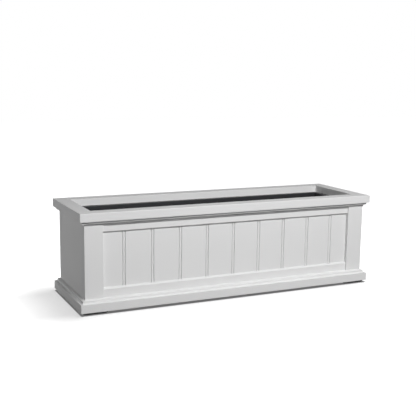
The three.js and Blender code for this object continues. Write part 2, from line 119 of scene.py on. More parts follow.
class PLANTER_PG_studio(bpy.types.PropertyGroup):
    """Lamps and background"""

    key_power: FloatProperty(
        name="Key", description="Power of the wide softbox in front", unit="POWER",
        min=0, default=52.0,
    )
    left_power: FloatProperty(
        name="Left", description="Power of the low softbox beside the left end", unit="POWER",
        min=0, default=4.8,
    )
    right_power: FloatProperty(
        name="Right", description="Power of the low softbox beside the right end", unit="POWER",
        min=0, default=7.0,
    )
    back_power: FloatProperty(
        name="Back", description="Power of the low softbox behind the box", unit="POWER",
        min=0, default=26.0,
    )
    floor_power: FloatProperty(
        name="Floor lamp", description="Power of the lamp overhead, which lights only the floor",
        unit="POWER", min=0, default=36.0,
    )
    horizon_glow: FloatProperty(
        name="Horizon glow", description="Strength of the even light from all round, at its foot",
        min=0, default=0.2,
    )
    floor_bounce: FloatProperty(
        name="Floor bounce", description="How much light the floor gives back to the object",
        min=0, max=1, default=0.17,
    )
    # Painted shade: below 1, the glow beside the box darkens the floor there, fading out to the shadow's
    # reach.
    glow_beside_box_painted_shade: FloatProperty(
        name="Floor glow", description="Share of the floor's white beside the box that no shadow takes",
        min=0, max=1, default=0.62,
    )
    # Under the box the shade is partly real and partly painted: the glow there is cut to this share.
    glow_under_box_painted_shade: FloatProperty(
        name="Glow under the box", description="Share of the floor's white that is left under the box",
        min=0, max=1, default=0.13,
    )


# ---------------------------------------------------------------- node trees


def node(tree, kind, inputs=None, **settings):
    """Adds a node, with values or links for its inputs by name or number."""
    made = tree.nodes.new(kind)
    for key, value in settings.items():
        setattr(made, key, value)
    for key, value in (inputs or {}).items():
        if isinstance(value, bpy.types.NodeSocket):
            tree.links.new(value, made.inputs[key])
        else:
            made.inputs[key].default_value = value
    return made


def group(name, inputs, outputs):
    """A shader node group with named sockets: the tree, what comes in and what goes out."""
    tree = bpy.data.node_groups.new(name, "ShaderNodeTree")
    for label, (kind, default) in inputs.items():
        socket = tree.interface.new_socket(label, in_out="INPUT", socket_type=kind)
        socket.default_value = default
    for label, kind in outputs.items():
        tree.interface.new_socket(label, in_out="OUTPUT", socket_type=kind)
    return tree, node(tree, "NodeGroupInput").outputs, node(tree, "NodeGroupOutput").inputs


COLOUR, NUMBER, VECTOR = "NodeSocketColor", "NodeSocketFloat", "NodeSocketVector"
FINISH = {"Colour": COLOUR, "Roughness": NUMBER, "Height": NUMBER}
WHITE = (1.0, 1.0, 1.0, 1.0)


def maths(tree, operation, first, second, third=0.0, **settings):
    """The result of one Math node."""
    values = {0: first, 1: second, 2: third}
    return node(tree, "ShaderNodeMath", values, operation=operation, **settings).outputs[0]


def vector_maths(tree, operation, first, second=(0, 0, 0)):
    """The outputs of one Vector Math node."""
    return node(tree, "ShaderNodeVectorMath", {0: first, 1: second}, operation=operation).outputs


def noise(tree, vector, scale, detail=2.0):
    """Noise at a number of features to the metre, from 0 to 1."""
    made = node(tree, "ShaderNodeTexNoise", {"Vector": vector, "Scale": scale, "Detail": detail})
    return made.outputs["Fac"]


def spread_round(tree, value, middle, width):
    """A 0 to 1 value, moved to lie round the middle with the given width."""
    less = maths(tree, "SUBTRACT", value, 0.5)
    return maths(tree, "MULTIPLY_ADD", less, width, middle)


def stretched(tree, stretch):
    """The object's own coordinates, multiplied by a number of features to the metre each way."""
    place = node(tree, "ShaderNodeTexCoord").outputs["Object"]
    return place, vector_maths(tree, "MULTIPLY", place, stretch)["Vector"]


def shaded(tree, colour, value):
    """A colour made lighter or darker."""
    made = node(tree, "ShaderNodeHueSaturation", {"Value": value, "Color": colour})
    return made.outputs["Color"]


def mixed(tree, factor, first, second):
    """A colour between two, by a factor from 0 to 1."""
    return node(tree, "ShaderNodeMix", {0: factor, 6: first, 7: second}, data_type="RGBA").outputs[2]


def brushed_paint_group():
    """Paint laid on along a board: brush marks, a fine orange peel and a slow drift of tone."""
    tree, given, out = group(
        "Brushed paint",
        {
            "Colour": (COLOUR, (0.8, 0.8, 0.8, 1)),
            "Marks per metre": (VECTOR, (20, 300, 300)),
            "Drift": (NUMBER, 0.03),
            "Roughness": (NUMBER, 0.4),
            "Gloss change": (NUMBER, 0.08),
        },
        FINISH,
    )
    place, along = stretched(tree, given["Marks per metre"])
    marks = noise(tree, along, 1.0, detail=3.0)
    peel = noise(tree, place, 700.0)
    drift = noise(tree, place, 7.0)
    tone = spread_round(tree, drift, 1.0, given["Drift"])
    tree.links.new(shaded(tree, given["Colour"], tone), out["Colour"])
    tree.links.new(spread_round(tree, marks, given["Roughness"], given["Gloss change"]), out["Roughness"])
    tree.links.new(maths(tree, "MULTIPLY_ADD", peel, 0.3, marks), out["Height"])
    return tree


def moulded_grain_group():
    """The fine pebbled grain of a moulded piece, with flow marks from the mould."""
    tree, given, out = group(
        "Moulded grain",
        {
            "Colour": (COLOUR, (0.1, 0.1, 0.1, 1)),
            "Pebbles per metre": (NUMBER, 900.0),
            "Drift": (NUMBER, 0.15),
            "Roughness": (NUMBER, 0.5),
            "Gloss change": (NUMBER, 0.15),
        },
        FINISH,
    )
    place = node(tree, "ShaderNodeTexCoord").outputs["Object"]
    pebbles = node(tree, "ShaderNodeTexVoronoi", {"Vector": place, "Scale": given["Pebbles per metre"]})
    flow = noise(tree, place, 14.0, detail=4.0)
    tone = spread_round(tree, flow, 1.0, given["Drift"])
    tree.links.new(shaded(tree, given["Colour"], tone), out["Colour"])
    tree.links.new(spread_round(tree, flow, given["Roughness"], given["Gloss change"]), out["Roughness"])
    tree.links.new(pebbles.outputs["Distance"], out["Height"])
    return tree


def settled_dust_group():
    """A thin patchy film on what faces up."""
    tree, given, out = group(
        "Settled dust",
        {
            "Colour": (COLOUR, (0.1, 0.1, 0.1, 1)),
            "Roughness": (NUMBER, 0.5),
            "Dust colour": (COLOUR, (0.3, 0.29, 0.27, 1)),
            "Amount": (NUMBER, 0.1),
        },
        {"Colour": COLOUR, "Roughness": NUMBER},
    )
    place = node(tree, "ShaderNodeTexCoord").outputs["Object"]
    normal = node(tree, "ShaderNodeNewGeometry").outputs["Normal"]
    facing = node(tree, "ShaderNodeSeparateXYZ", {0: normal})
    upward = maths(tree, "MAXIMUM", facing.outputs["Z"], 0.0)
    patches = noise(tree, place, 45.0, detail=5.0)
    film = maths(tree, "MULTIPLY", upward, patches)
    mask = maths(tree, "MULTIPLY", film, given["Amount"])
    tree.links.new(mixed(tree, mask, given["Colour"], given["Dust colour"]), out["Colour"])
    tree.links.new(maths(tree, "MULTIPLY_ADD", mask, 0.4, given["Roughness"]), out["Roughness"])
    return tree


def placed(tree, shared, inputs):
    """One use of a shared group, with its own values."""
    return node(tree, "ShaderNodeGroup", inputs, node_tree=shared).outputs


def material(name, **constants):
    """A material with one Principled shader, whose constant sockets are set straight away."""
    made = bpy.data.materials.new(name)
    made.use_nodes = True
    shader = made.node_tree.nodes["Principled BSDF"]
    for key, value in constants.items():
        shader.inputs[key.replace("_", " ")].default_value = value
    return made, made.node_tree, shader.inputs


def cover(tree, sockets, finish, height, depth, strength):
    """Feeds a finish's colour, roughness and relief to the Principled shader."""
    tree.links.new(finish["Colour"], sockets["Base Color"])
    tree.links.new(finish["Roughness"], sockets["Roughness"])
    bump = node(tree, "ShaderNodeBump", {"Height": height, "Distance": depth, "Strength": strength})
    tree.links.new(bump.outputs["Normal"], sockets["Normal"])


class Finishes:
    """The planter's materials, made once from the panel's values."""

    # Brush marks to the metre along the board and across it.
    ALONG, ACROSS = 14.0, 260.0

    def __init__(self, paint, plastic):
        self.brushed_paint = brushed_paint_group()
        self.moulded_grain = moulded_grain_group()
        self.settled_dust = settled_dust_group()
        self.painted = {run: self.painted_board(run, paint) for run in "XYZ"}
        self.bare = self.bare_board(paint)
        self.liner = self.moulded("Liner plastic", plastic.liner_colour, 0.42, 700.0, 0.12)
        self.platform = self.moulded("Platform plastic", plastic.platform_colour, 0.5, 1000.0, 0.12)
        self.foot = self.moulded("Foot plastic", plastic.foot_colour, 0.55, 800.0, 0.0)
        self.rubber = self.moulded("Plug rubber", plastic.plug_colour, 0.75, 1600.0, 0.2)
        self.steel = self.plated_steel()

    def painted_board(self, run, paint):
        made, tree, sockets = material(f"White paint along {run}", IOR=1.45, Specular_IOR_Level=0.1)
        marks = [self.ALONG if axis == run else self.ACROSS for axis in "XYZ"]
        coat = placed(tree, self.brushed_paint, {
            "Colour": paint.colour, "Marks per metre": marks,
            "Drift": 0.035, "Roughness": 0.5, "Gloss change": 0.10,
        })
        cover(tree, sockets, coat, coat["Height"], paint.brush_depth, 0.35)
        return made

    def bare_board(self, paint):
        """Unpainted board, sawn smooth and left dull."""
        made, tree, sockets = material("Bare board", IOR=1.45, Specular_IOR_Level=0.3)
        coat = placed(tree, self.brushed_paint, {
            "Colour": paint.bare_colour, "Marks per metre": (40, 40, 500),
            "Drift": 0.08, "Roughness": 0.62, "Gloss change": 0.1,
        })
        cover(tree, sockets, coat, coat["Height"], paint.brush_depth, 0.5)
        return made

    def moulded(self, name, colour, roughness, pebbles, dust):
        made, tree, sockets = material(name, IOR=1.5, Specular_IOR_Level=0.45)
        skin = placed(tree, self.moulded_grain, {
            "Colour": colour, "Pebbles per metre": pebbles, "Roughness": roughness,
        })
        film = placed(tree, self.settled_dust, {
            "Colour": skin["Colour"], "Roughness": skin["Roughness"], "Amount": dust,
        })
        cover(tree, sockets, film, skin["Height"], 0.15 * MM, 0.5)
        return made

    def plated_steel(self):
        made, tree, sockets = material("Plated steel", Metallic=1.0)
        plating = placed(tree, self.moulded_grain, {
            "Colour": (0.62, 0.63, 0.65, 1), "Pebbles per metre": 2500.0, "Drift": 0.1,
            "Roughness": 0.3, "Gloss change": 0.2,
        })
        cover(tree, sockets, plating, plating["Height"], 0.05 * MM, 0.3)
        return made


_made = {}


def finishes():
    """The materials, built by the first operator that asks for them."""
    if "finishes" not in _made:
        planter = bpy.context.scene.planter
        _made["finishes"] = Finishes(planter.paint, planter.plastic)
    return _made["finishes"]


# ---------------------------------------------------------------- modifiers


# Edges that turn by more than this are eased, and are shaded as edges.
SHARP_ANGLE = math.radians(30)
# Faces that turn by less than this are joined to one flat face.
FLAT_ANGLE = math.radians(0.5)
# Points nearer than this are one point, before and after the edges are eased.
SEAM, SLIVER = 0.01 * MM, 0.005 * MM


def smooth_curves_group():
    """Geometry nodes that shade faces smooth, apart from edges that turn sharply."""
    if "smooth" in _made:
        return _made["smooth"]
    tree = bpy.data.node_groups.new("Smooth curves", "GeometryNodeTree")
    tree.interface.new_socket("Geometry", in_out="INPUT", socket_type="NodeSocketGeometry")
    tree.interface.new_socket("Geometry", in_out="OUTPUT", socket_type="NodeSocketGeometry")
    shape = node(tree, "NodeGroupInput").outputs[0]
    faces = node(tree, "GeometryNodeSetShadeSmooth", {"Geometry": shape}, domain="FACE")
    turn = node(tree, "GeometryNodeInputMeshEdgeAngle").outputs["Unsigned Angle"]
    flat = maths(tree, "LESS_THAN", turn, SHARP_ANGLE)
    edges = node(
        tree, "GeometryNodeSetShadeSmooth",
        {"Geometry": faces.outputs[0], "Shade Smooth": flat}, domain="EDGE",
    )
    node(tree, "NodeGroupOutput", {0: edges.outputs[0]})
    _made["smooth"] = tree
    return tree


def smooth(obj):
    """Shades curves smooth and flats flat."""
    curves = obj.modifiers.new("Smooth curves", "NODES")
    curves.node_group = smooth_curves_group()
    weighted = obj.modifiers.new("Flat faces lead", "WEIGHTED_NORMAL")
    weighted.keep_sharp = True
    weighted.weight = 100


def ease(obj, width, segments=2):
    """Joins a solid's flat faces, rounds its edges and shades it."""
    mesh = obj.data
    if "custom_normal" in mesh.attributes:
        mesh.attributes.remove(mesh.attributes["custom_normal"])
    weld = obj.modifiers.new("Weld", "WELD")
    weld.merge_threshold = SEAM
    flat = obj.modifiers.new("Join flat faces", "DECIMATE")
    flat.decimate_type = "DISSOLVE"
    flat.angle_limit = FLAT_ANGLE
    bevel = obj.modifiers.new("Eased edges", "BEVEL")
    bevel.width = width
    bevel.segments = segments
    bevel.limit_method = "ANGLE"
    bevel.angle_limit = SHARP_ANGLE
    slivers = obj.modifiers.new("Close slivers", "WELD")
    slivers.merge_threshold = SLIVER
    smooth(obj)


def coat(obj, made):
    """Gives an object one material."""
    obj.data.materials.clear()
    obj.data.materials.append(made)


def dress(names, made, width, segments=2):
    """Keeps CAD nodes as they are, with eased edges and a finish."""
    for name in names:
        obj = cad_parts[name]
        coat(obj, made)
        ease(obj, width, segments)


# ---------------------------------------------------------------- new shapes


def object_from(name, data):
    """Puts new data in the scene as an object."""
    obj = bpy.data.objects.new(name, data)
    bpy.context.scene.collection.objects.link(obj)
    return obj


def object_from_bmesh(name, shape):
    """Closes a shape's seams, turns its faces outwards and puts it in the scene."""
    bmesh.ops.remove_doubles(shape, verts=shape.verts, dist=0.002 * MM)
    bmesh.ops.recalc_face_normals(shape, faces=shape.faces)
    data = bpy.data.meshes.new(name)
    shape.to_mesh(data)
    shape.free()
    return object_from(name, data)


def cut(obj, cutter):
    """Takes a cutter's space out of an object and removes the cutter."""
    difference = obj.modifiers.new("Cut", "BOOLEAN")
    difference.object = cutter
    difference.operation = "DIFFERENCE"
    difference.solver = "EXACT"
    made = baked(obj)
    bpy.data.objects.remove(cutter)
    return made


def middle_of(low, high):
    """The upright middle line of a box."""
    return (low.x + high.x) / 2, (low.y + high.y) / 2


def baked(obj):
    """Replaces an object's data with its evaluated mesh and drops its modifiers."""
    name = obj.name
    evaluated = obj.evaluated_get(bpy.context.evaluated_depsgraph_get())
    data = bpy.data.meshes.new_from_object(evaluated)
    if not data.polygons:
        raise RuntimeError(f"{name} has no faces left")
    bpy.data.objects.remove(obj)
    return object_from(name, data)


def stand_in(obj, body, made, *nodes, slot=None):
    """Puts a new piece in place of CAD nodes, riding on their body."""
    coat(obj, made)
    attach(obj, body)
    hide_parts(*nodes)


def lathe(shape, centre, profile, sides):
    """Turns a [radius, height] profile, which starts and ends on the axis, about an upright line."""
    rings = []
    for radius, height in profile:
        if radius == 0:
            rings.append([shape.verts.new((*centre, height))] * sides)
            continue
        ring = []
        for i in range(sides):
            angle = 2 * math.pi * i / sides
            ring.append(shape.verts.new((
                centre[0] + radius * math.cos(angle), centre[1] + radius * math.sin(angle), height,
            )))
        rings.append(ring)
    skin(shape, rings)


def skin(shape, rings, closed_ends=False):
    """Faces between rings of equal counts, which may shrink to one point."""
    for low, high in zip(rings, rings[1:]):
        count = len(low)
        for i in range(count):
            corners = [low[i], low[(i + 1) % count], high[(i + 1) % count], high[i]]
            distinct = list(dict.fromkeys(corners))
            if len(distinct) > 2:
                shape.faces.new(distinct)
    if closed_ends:
        shape.faces.new(rings[0])
        shape.faces.new(rings[-1])


def arc(centre, radius, start, end, steps):
    """Points on an arc in a profile, with angles in degrees."""
    points = []
    for i in range(steps + 1):
        angle = math.radians(start + (end - start) * i / steps)
        points.append((centre[0] + radius * math.cos(angle), centre[1] + radius * math.sin(angle)))
    return points


def rounded_ring(shape, half_x, half_y, corner, height, steps=8):
    """A level ring of vertices: a rectangle with round corners."""
    ring = []
    places = ((1, 1, 0), (-1, 1, 90), (-1, -1, 180), (1, -1, 270))
    for sign_x, sign_y, start in places:
        centre = (sign_x * (half_x - corner), sign_y * (half_y - corner))
        for x, y in arc(centre, corner, start, start + 90, steps):
            ring.append(shape.verts.new((x, y, height)))
    return ring


# ---------------------------------------------------------------- operators: the painted box


class PlanterOperator:
    """What the planter's operators share"""

    bl_options = {"REGISTER", "UNDO"}


class PLANTER_OT_cap(PlanterOperator, bpy.types.Operator):
    """Paint the four cap rails along their run"""

    bl_idname = "planter.cap"
    bl_label = "Cap"

    def execute(self, context):
        paint = context.scene.planter.paint
        for side, run in zip(SIDES, "XYXY"):
            dress([f"cap_{side}"], finishes().painted[run], paint.fine_edge)
        return {"FINISHED"}


class PLANTER_OT_mouldings(PlanterOperator, bpy.types.Operator):
    """Paint the bed mould under the cap and the base skirt"""

    bl_idname = "planter.mouldings"
    bl_label = "Mouldings"

    def execute(self, context):
        paint = context.scene.planter.paint
        for side, run in zip(SIDES, "XYXY"):
            names = [f"bed_mould_{side}", f"skirt_{side}"]
            dress(names, finishes().painted[run], paint.fine_edge)
        return {"FINISHED"}


class PLANTER_OT_front_frame(PlanterOperator, bpy.types.Operator):
    """Paint the front posts and rails"""

    bl_idname = "planter.front_frame"
    bl_label = "Front frame"

    def execute(self, context):
        paint = context.scene.planter.paint
        dress(["front_post_left", "front_post_right"], finishes().painted["Z"], paint.board_edge, 3)
        dress(["front_top_rail", "front_bottom_rail"], finishes().painted["X"], paint.fine_edge)
        return {"FINISHED"}


class PLANTER_OT_beaded_boards(PlanterOperator, bpy.types.Operator):
    """Paint the beaded boards"""

    bl_idname = "planter.beaded_boards"
    bl_label = "Beaded boards"

    def execute(self, context):
        names = sorted(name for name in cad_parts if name.startswith("bead_board_"))
        dress(names, finishes().painted["Z"], context.scene.planter.paint.fine_edge)
        return {"FINISHED"}


class PLANTER_OT_walls(PlanterOperator, bpy.types.Operator):
    """Paint the end boards and the back board"""

    bl_idname = "planter.walls"
    bl_label = "Walls"

    def execute(self, context):
        paint = context.scene.planter.paint
        dress(["end_board_left", "end_board_right"], finishes().painted["Z"], paint.board_edge, 3)
        dress(["back_board"], finishes().painted["X"], paint.board_edge, 3)
        return {"FINISHED"}


class PLANTER_OT_inner_boards(PlanterOperator, bpy.types.Operator):
    """Finish the corner blocks, ledges, floor and cap joinery"""

    bl_idname = "planter.inner_boards"
    bl_label = "Inner boards"

    def execute(self, context):
        paint = context.scene.planter.paint
        names = [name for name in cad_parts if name.startswith((
            "corner_block_", "liner_ledge_", "floor_batten_", "floor_board_", "cap_spline_", "cap_dowel_",
        ))]
        dress(sorted(names), finishes().bare, paint.fine_edge)
        return {"FINISHED"}


# ---------------------------------------------------------------- operators: feet and screws


class PLANTER_OT_feet(PlanterOperator, bpy.types.Operator):
    """Finish the four moulded feet"""

    bl_idname = "planter.feet"
    bl_label = "Feet"

    def execute(self, context):
        plastic = context.scene.planter.plastic
        dress([f"foot_{corner}" for corner in CORNERS], finishes().foot, plastic.moulded_edge, 3)
        return {"FINISHED"}


class PLANTER_OT_foot_screws(PlanterOperator, bpy.types.Operator):
    """Turn a screw with a cross recess and a thread for each foot"""

    bl_idname = "planter.foot_screws"
    bl_label = "Foot screws"

    HEAD_HEIGHT = 2.6 * MM
    HEAD_ROUND = 1.1 * MM
    HEAD_EDGE = 0.3 * MM
    SHANK_RADIUS = 2 * MM
    SHANK_EASE = 0.3 * MM
    NECK = 5 * MM
    POINT = 4 * MM
    THREAD_PITCH = 1.8 * MM
    THREAD_DEPTH = 0.5 * MM
    # Each thread's flat and crest lie at these shares of the pitch.
    THREAD_FLAT, THREAD_CREST = 0.45, 0.72
    RECESS_LENGTH = 4.4 * MM
    RECESS_WIDTH = 1.0 * MM
    RECESS_DEPTH = 1.5 * MM
    # The recess narrows to these shares of its length and width.
    RECESS_NARROWS = (0.55, 0.8)

    def execute(self, context):
        sides = context.scene.planter.plastic.turned_sides
        for corner in CORNERS:
            self.screw(f"foot_screw_{corner}", sides)
        return {"FINISHED"}

    def screw(self, cad_name, sides):
        low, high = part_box(cad_name)
        centre = middle_of(low, high)
        head = (high.x - low.x) / 2
        seat = low.z + self.HEAD_HEIGHT
        rounding, edge = self.HEAD_ROUND, self.HEAD_EDGE
        profile = [(0, low.z)]
        profile += arc((head - rounding, low.z + rounding), rounding, -90, 0, 4)
        profile += arc((head - edge, seat - edge), edge, 0, 90, 2)
        neck = seat + self.NECK
        eased = self.SHANK_RADIUS - self.SHANK_EASE
        profile += [(eased, seat), (eased, neck)]
        profile += self.thread(neck, high.z)
        profile += [(0, high.z)]
        shape = bmesh.new()
        lathe(shape, centre, profile, sides // 2)
        screw = cut(object_from_bmesh(f"screw_{cad_name}", shape), self.cross(centre, low.z))
        smooth(screw)
        stand_in(screw, "box", finishes().steel, cad_name, slot="screw_steel")

    def thread(self, height, tip):
        """A profile of rings that taper to the tip."""
        crest = self.SHANK_RADIUS
        core = crest - self.THREAD_DEPTH
        points = []
        while height + self.THREAD_PITCH < tip:
            taper = min(1.0, (tip - height) / self.POINT)
            points += [
                (core * taper, height),
                (core * taper, height + self.THREAD_FLAT * self.THREAD_PITCH),
                (crest * taper, height + self.THREAD_CREST * self.THREAD_PITCH),
            ]
            height += self.THREAD_PITCH
        return points

    def cross(self, centre, bottom):
        """A cross that narrows upwards, to cut the recess."""
        shape = bmesh.new()
        rings = []
        for height, shares in ((-self.RECESS_DEPTH, (1, 1)), (self.RECESS_DEPTH, self.RECESS_NARROWS)):
            reach = self.RECESS_LENGTH * shares[0] / 2
            half = self.RECESS_WIDTH * shares[1] / 2
            arm = ((reach, -half), (reach, half), (half, half))
            ring = []
            for turn in range(4):
                across, along = math.cos(turn * math.pi / 2), math.sin(turn * math.pi / 2)
                for x, y in arm:
                    place = (centre[0] + x * across - y * along, centre[1] + x * along + y * across)
                    ring.append(shape.verts.new((*place, bottom + height)))
            rings.append(ring)
        skin(shape, rings, closed_ends=True)
        return object_from_bmesh("recess_cutter", shape)


# ---------------------------------------------------------------- operators: liner and inside


class PLANTER_OT_liner(PlanterOperator, bpy.types.Operator):
    """Mould the liner: a rolled lip, round corners, a filleted floor and two drains"""

    bl_idname = "planter.liner"
    bl_label = "Liner"

    WALL = 3 * MM
    LIP_REACH = 9 * MM
    DRAFT = 3 * MM
    CORNER = 10 * MM
    LEAST_CORNER = 2 * MM
    OUTER_FOOT = 4 * MM
    FLOOR_FILLET = 5 * MM
    LIP_ROUND = 1.2 * MM
    MOUTH_ROUND = 1.6 * MM
    DRAIN_RADIUS = 10 * MM

    def execute(self, context):
        low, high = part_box("liner")
        lip = (high.x, high.y)
        under_lip = high.z - self.WALL
        rise = under_lip - low.z

        def inset(height):
            """How far the outer face lies inside the lip's edge at a height."""
            return self.LIP_REACH + self.DRAFT * (under_lip - height) / rise

        foot = self.OUTER_FOOT
        wall = self.WALL
        outside = [(inset(low.z) + foot - x, low.z + foot + z) for x, z in arc((0, 0), foot, -90, 0, 5)]
        outside += [(inset(under_lip), under_lip)]
        edge = self.LIP_ROUND
        outside += [(edge - x, under_lip + edge + z) for x, z in arc((0, 0), edge, -90, 0, 3)]
        outside += [(edge - x, high.z - edge + z) for x, z in arc((0, 0), edge, 0, 90, 3)]
        mouth = self.MOUTH_ROUND
        inner_top = inset(under_lip) + wall
        inside = [
            (inner_top - mouth + x, high.z - mouth + z)
            for x, z in arc((0, 0), mouth, 90, 0, 4)
        ]
        floor = low.z + wall
        fillet = self.FLOOR_FILLET
        inner_floor = inset(floor) + wall
        inside += [
            (inner_floor + fillet + x, floor + fillet + z)
            for x, z in arc((0, 0), fillet, 180, 270, 6)
        ]
        shape = bmesh.new()
        rings = []
        for depth, height in outside + inside:
            corner = max(self.CORNER - max(0, depth - self.LIP_REACH), self.LEAST_CORNER)
            rings.append(rounded_ring(shape, lip[0] - depth, lip[1] - depth, corner, height))
        skin(shape, rings, closed_ends=True)
        sides = context.scene.planter.plastic.turned_sides
        liner = cut(object_from_bmesh("liner_tub", shape), self.drain_cutters(floor, sides))
        smooth(liner)
        stand_in(liner, "liner", finishes().liner, "liner", slot="liner_black")
        return {"FINISHED"}

    def drain_cutters(self, floor, sides):
        """Two upright cylinders through the liner's floor, where the plugs sit."""
        shape = bmesh.new()
        for side in ("left", "right"):
            centre = middle_of(*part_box(f"drain_plug_{side}"))
            profile = [
                (0, floor - 2 * self.WALL), (self.DRAIN_RADIUS, floor - 2 * self.WALL),
                (self.DRAIN_RADIUS, floor + self.WALL), (0, floor + self.WALL),
            ]
            lathe(shape, centre, profile, sides)
        return object_from_bmesh("drain_cutters", shape)


class PLANTER_OT_drainage_platform(PlanterOperator, bpy.types.Operator):
    """Mould the drainage platform: a plate with round-ended slots on hollow tapered legs"""

    bl_idname = "planter.drainage_platform"
    bl_label = "Drainage platform"

    PLATE = 3 * MM
    CORNER = 7 * MM
    LEG_FROM_END = 98 * MM
    LEG_FROM_EDGE = 39 * MM
    LEG_RADIUS = 14 * MM
    LEG_FOOT_RADIUS = 12 * MM
    LEG_WALL = 2.5 * MM
    # The leg flares out into the plate, by this much outwards and twice as far down.
    LEG_FLARE = 1.0 * MM
    # The leg's outside sinks this far into the plate, and its hollow ends this far below it.
    LEG_SINK, LEG_ROOF = 0.5 * MM, 0.2 * MM
    LEG_HOLLOW_ROUND = 2 * MM
    SLOT_LENGTH = 40 * MM
    SLOT_WIDTH = 7 * MM
    SLOT_PITCH = 60 * MM
    SLOT_FROM_LEG = 2 * MM
    SLOT_FROM_END = 10 * MM
    ROW_FROM_MIDDLE = 20 * MM
    ROW_FROM_EDGE = 21 * MM

    def execute(self, context):
        plastic = context.scene.planter.plastic
        low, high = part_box("drainage_platform")
        leg_x = high.x - self.LEG_FROM_END
        leg_y = high.y - self.LEG_FROM_EDGE
        columns = (-leg_x, 0, leg_x)
        edge = plastic.moulded_edge
        plate = self.plate(high, columns, edge)
        shape = bmesh.new()
        shape.from_mesh(plate.data)
        bpy.data.objects.remove(plate)
        for x in columns:
            for y in (-leg_y, leg_y):
                self.leg(shape, (x, y), low.z, high.z - self.PLATE, plastic.turned_sides, edge)
        platform = object_from_bmesh("platform_grille", shape)
        smooth(platform)
        stand_in(
            platform, "drainage_platform", finishes().platform, "drainage_platform",
            slot="platform_grey",
        )
        return {"FINISHED"}

    def slots(self, high, columns):
        """Where the slots lie: in columns between the legs and out to both ends."""
        clear = self.SLOT_LENGTH / 2 + self.LEG_RADIUS + self.SLOT_FROM_LEG
        end = high.x - self.SLOT_LENGTH / 2 - self.SLOT_FROM_END
        lows = [-end] + [x + clear for x in columns]
        highs = [x - clear for x in columns] + [end]
        rows = (self.ROW_FROM_MIDDLE, high.y - self.ROW_FROM_EDGE)
        for low_x, high_x in zip(lows, highs):
            gaps = math.floor((high_x - low_x) / self.SLOT_PITCH)
            start = (low_x + high_x - gaps * self.SLOT_PITCH) / 2
            for i in range(gaps + 1):
                for row in rows:
                    yield start + i * self.SLOT_PITCH, row
                    yield start + i * self.SLOT_PITCH, -row

    def plate(self, high, columns, edge):
        """A flat curve filled between its outline and the slots, with rounded edges."""
        curve = bpy.data.curves.new("platform_plate", "CURVE")
        curve.dimensions = "2D"
        curve.fill_mode = "BOTH"
        curve.extrude = self.PLATE / 2 - edge
        curve.bevel_depth = edge
        curve.bevel_resolution = 2
        curve.offset = -edge
        outline = []
        for sign_x, sign_y, start in ((1, 1, 0), (-1, 1, 90), (-1, -1, 180), (1, -1, 270)):
            centre = (sign_x * (high.x - self.CORNER), sign_y * (high.y - self.CORNER))
            outline += arc(centre, self.CORNER, start, start + 90, 6)
        self.add_outline(curve, outline)
        radius = self.SLOT_WIDTH / 2
        for x, y in self.slots(high, columns):
            reach = self.SLOT_LENGTH / 2 - radius
            ends = arc((x + reach, y), radius, -90, 90, 8) + arc((x - reach, y), radius, 90, 270, 8)
            self.add_outline(curve, ends)
        made = baked(object_from("platform_plate", curve))
        made.data.transform(Matrix.Translation((0, 0, high.z - self.PLATE / 2)))
        return made

    def add_outline(self, curve, points):
        """Adds a closed line of points to a curve."""
        spline = curve.splines.new("POLY")
        spline.points.add(len(points) - 1)
        for point, (x, y) in zip(spline.points, points):
            point.co = (x, y, 0, 1)
        spline.use_cyclic_u = True

    def leg(self, shape, centre, bottom, top, sides, edge):
        """A hollow tapered leg, open at the bottom and flared where it meets the plate."""
        foot, head, wall = self.LEG_FOOT_RADIUS, self.LEG_RADIUS, self.LEG_WALL
        flare, bend = self.LEG_FLARE, self.LEG_HOLLOW_ROUND
        roof, root = top - self.LEG_ROOF, top + self.LEG_SINK
        profile = [(0, roof), (head - wall - bend, roof), (head - wall, roof - bend)]
        profile += [(foot - wall, bottom + edge), (foot - wall + edge, bottom)]
        profile += [(foot - edge, bottom), (foot, bottom + edge)]
        profile += [(head - 0.1 * flare, top - 2 * flare), (head + 0.3 * flare, top - flare)]
        profile += [(head + flare, root), (0, root)]
        lathe(shape, centre, profile, sides)


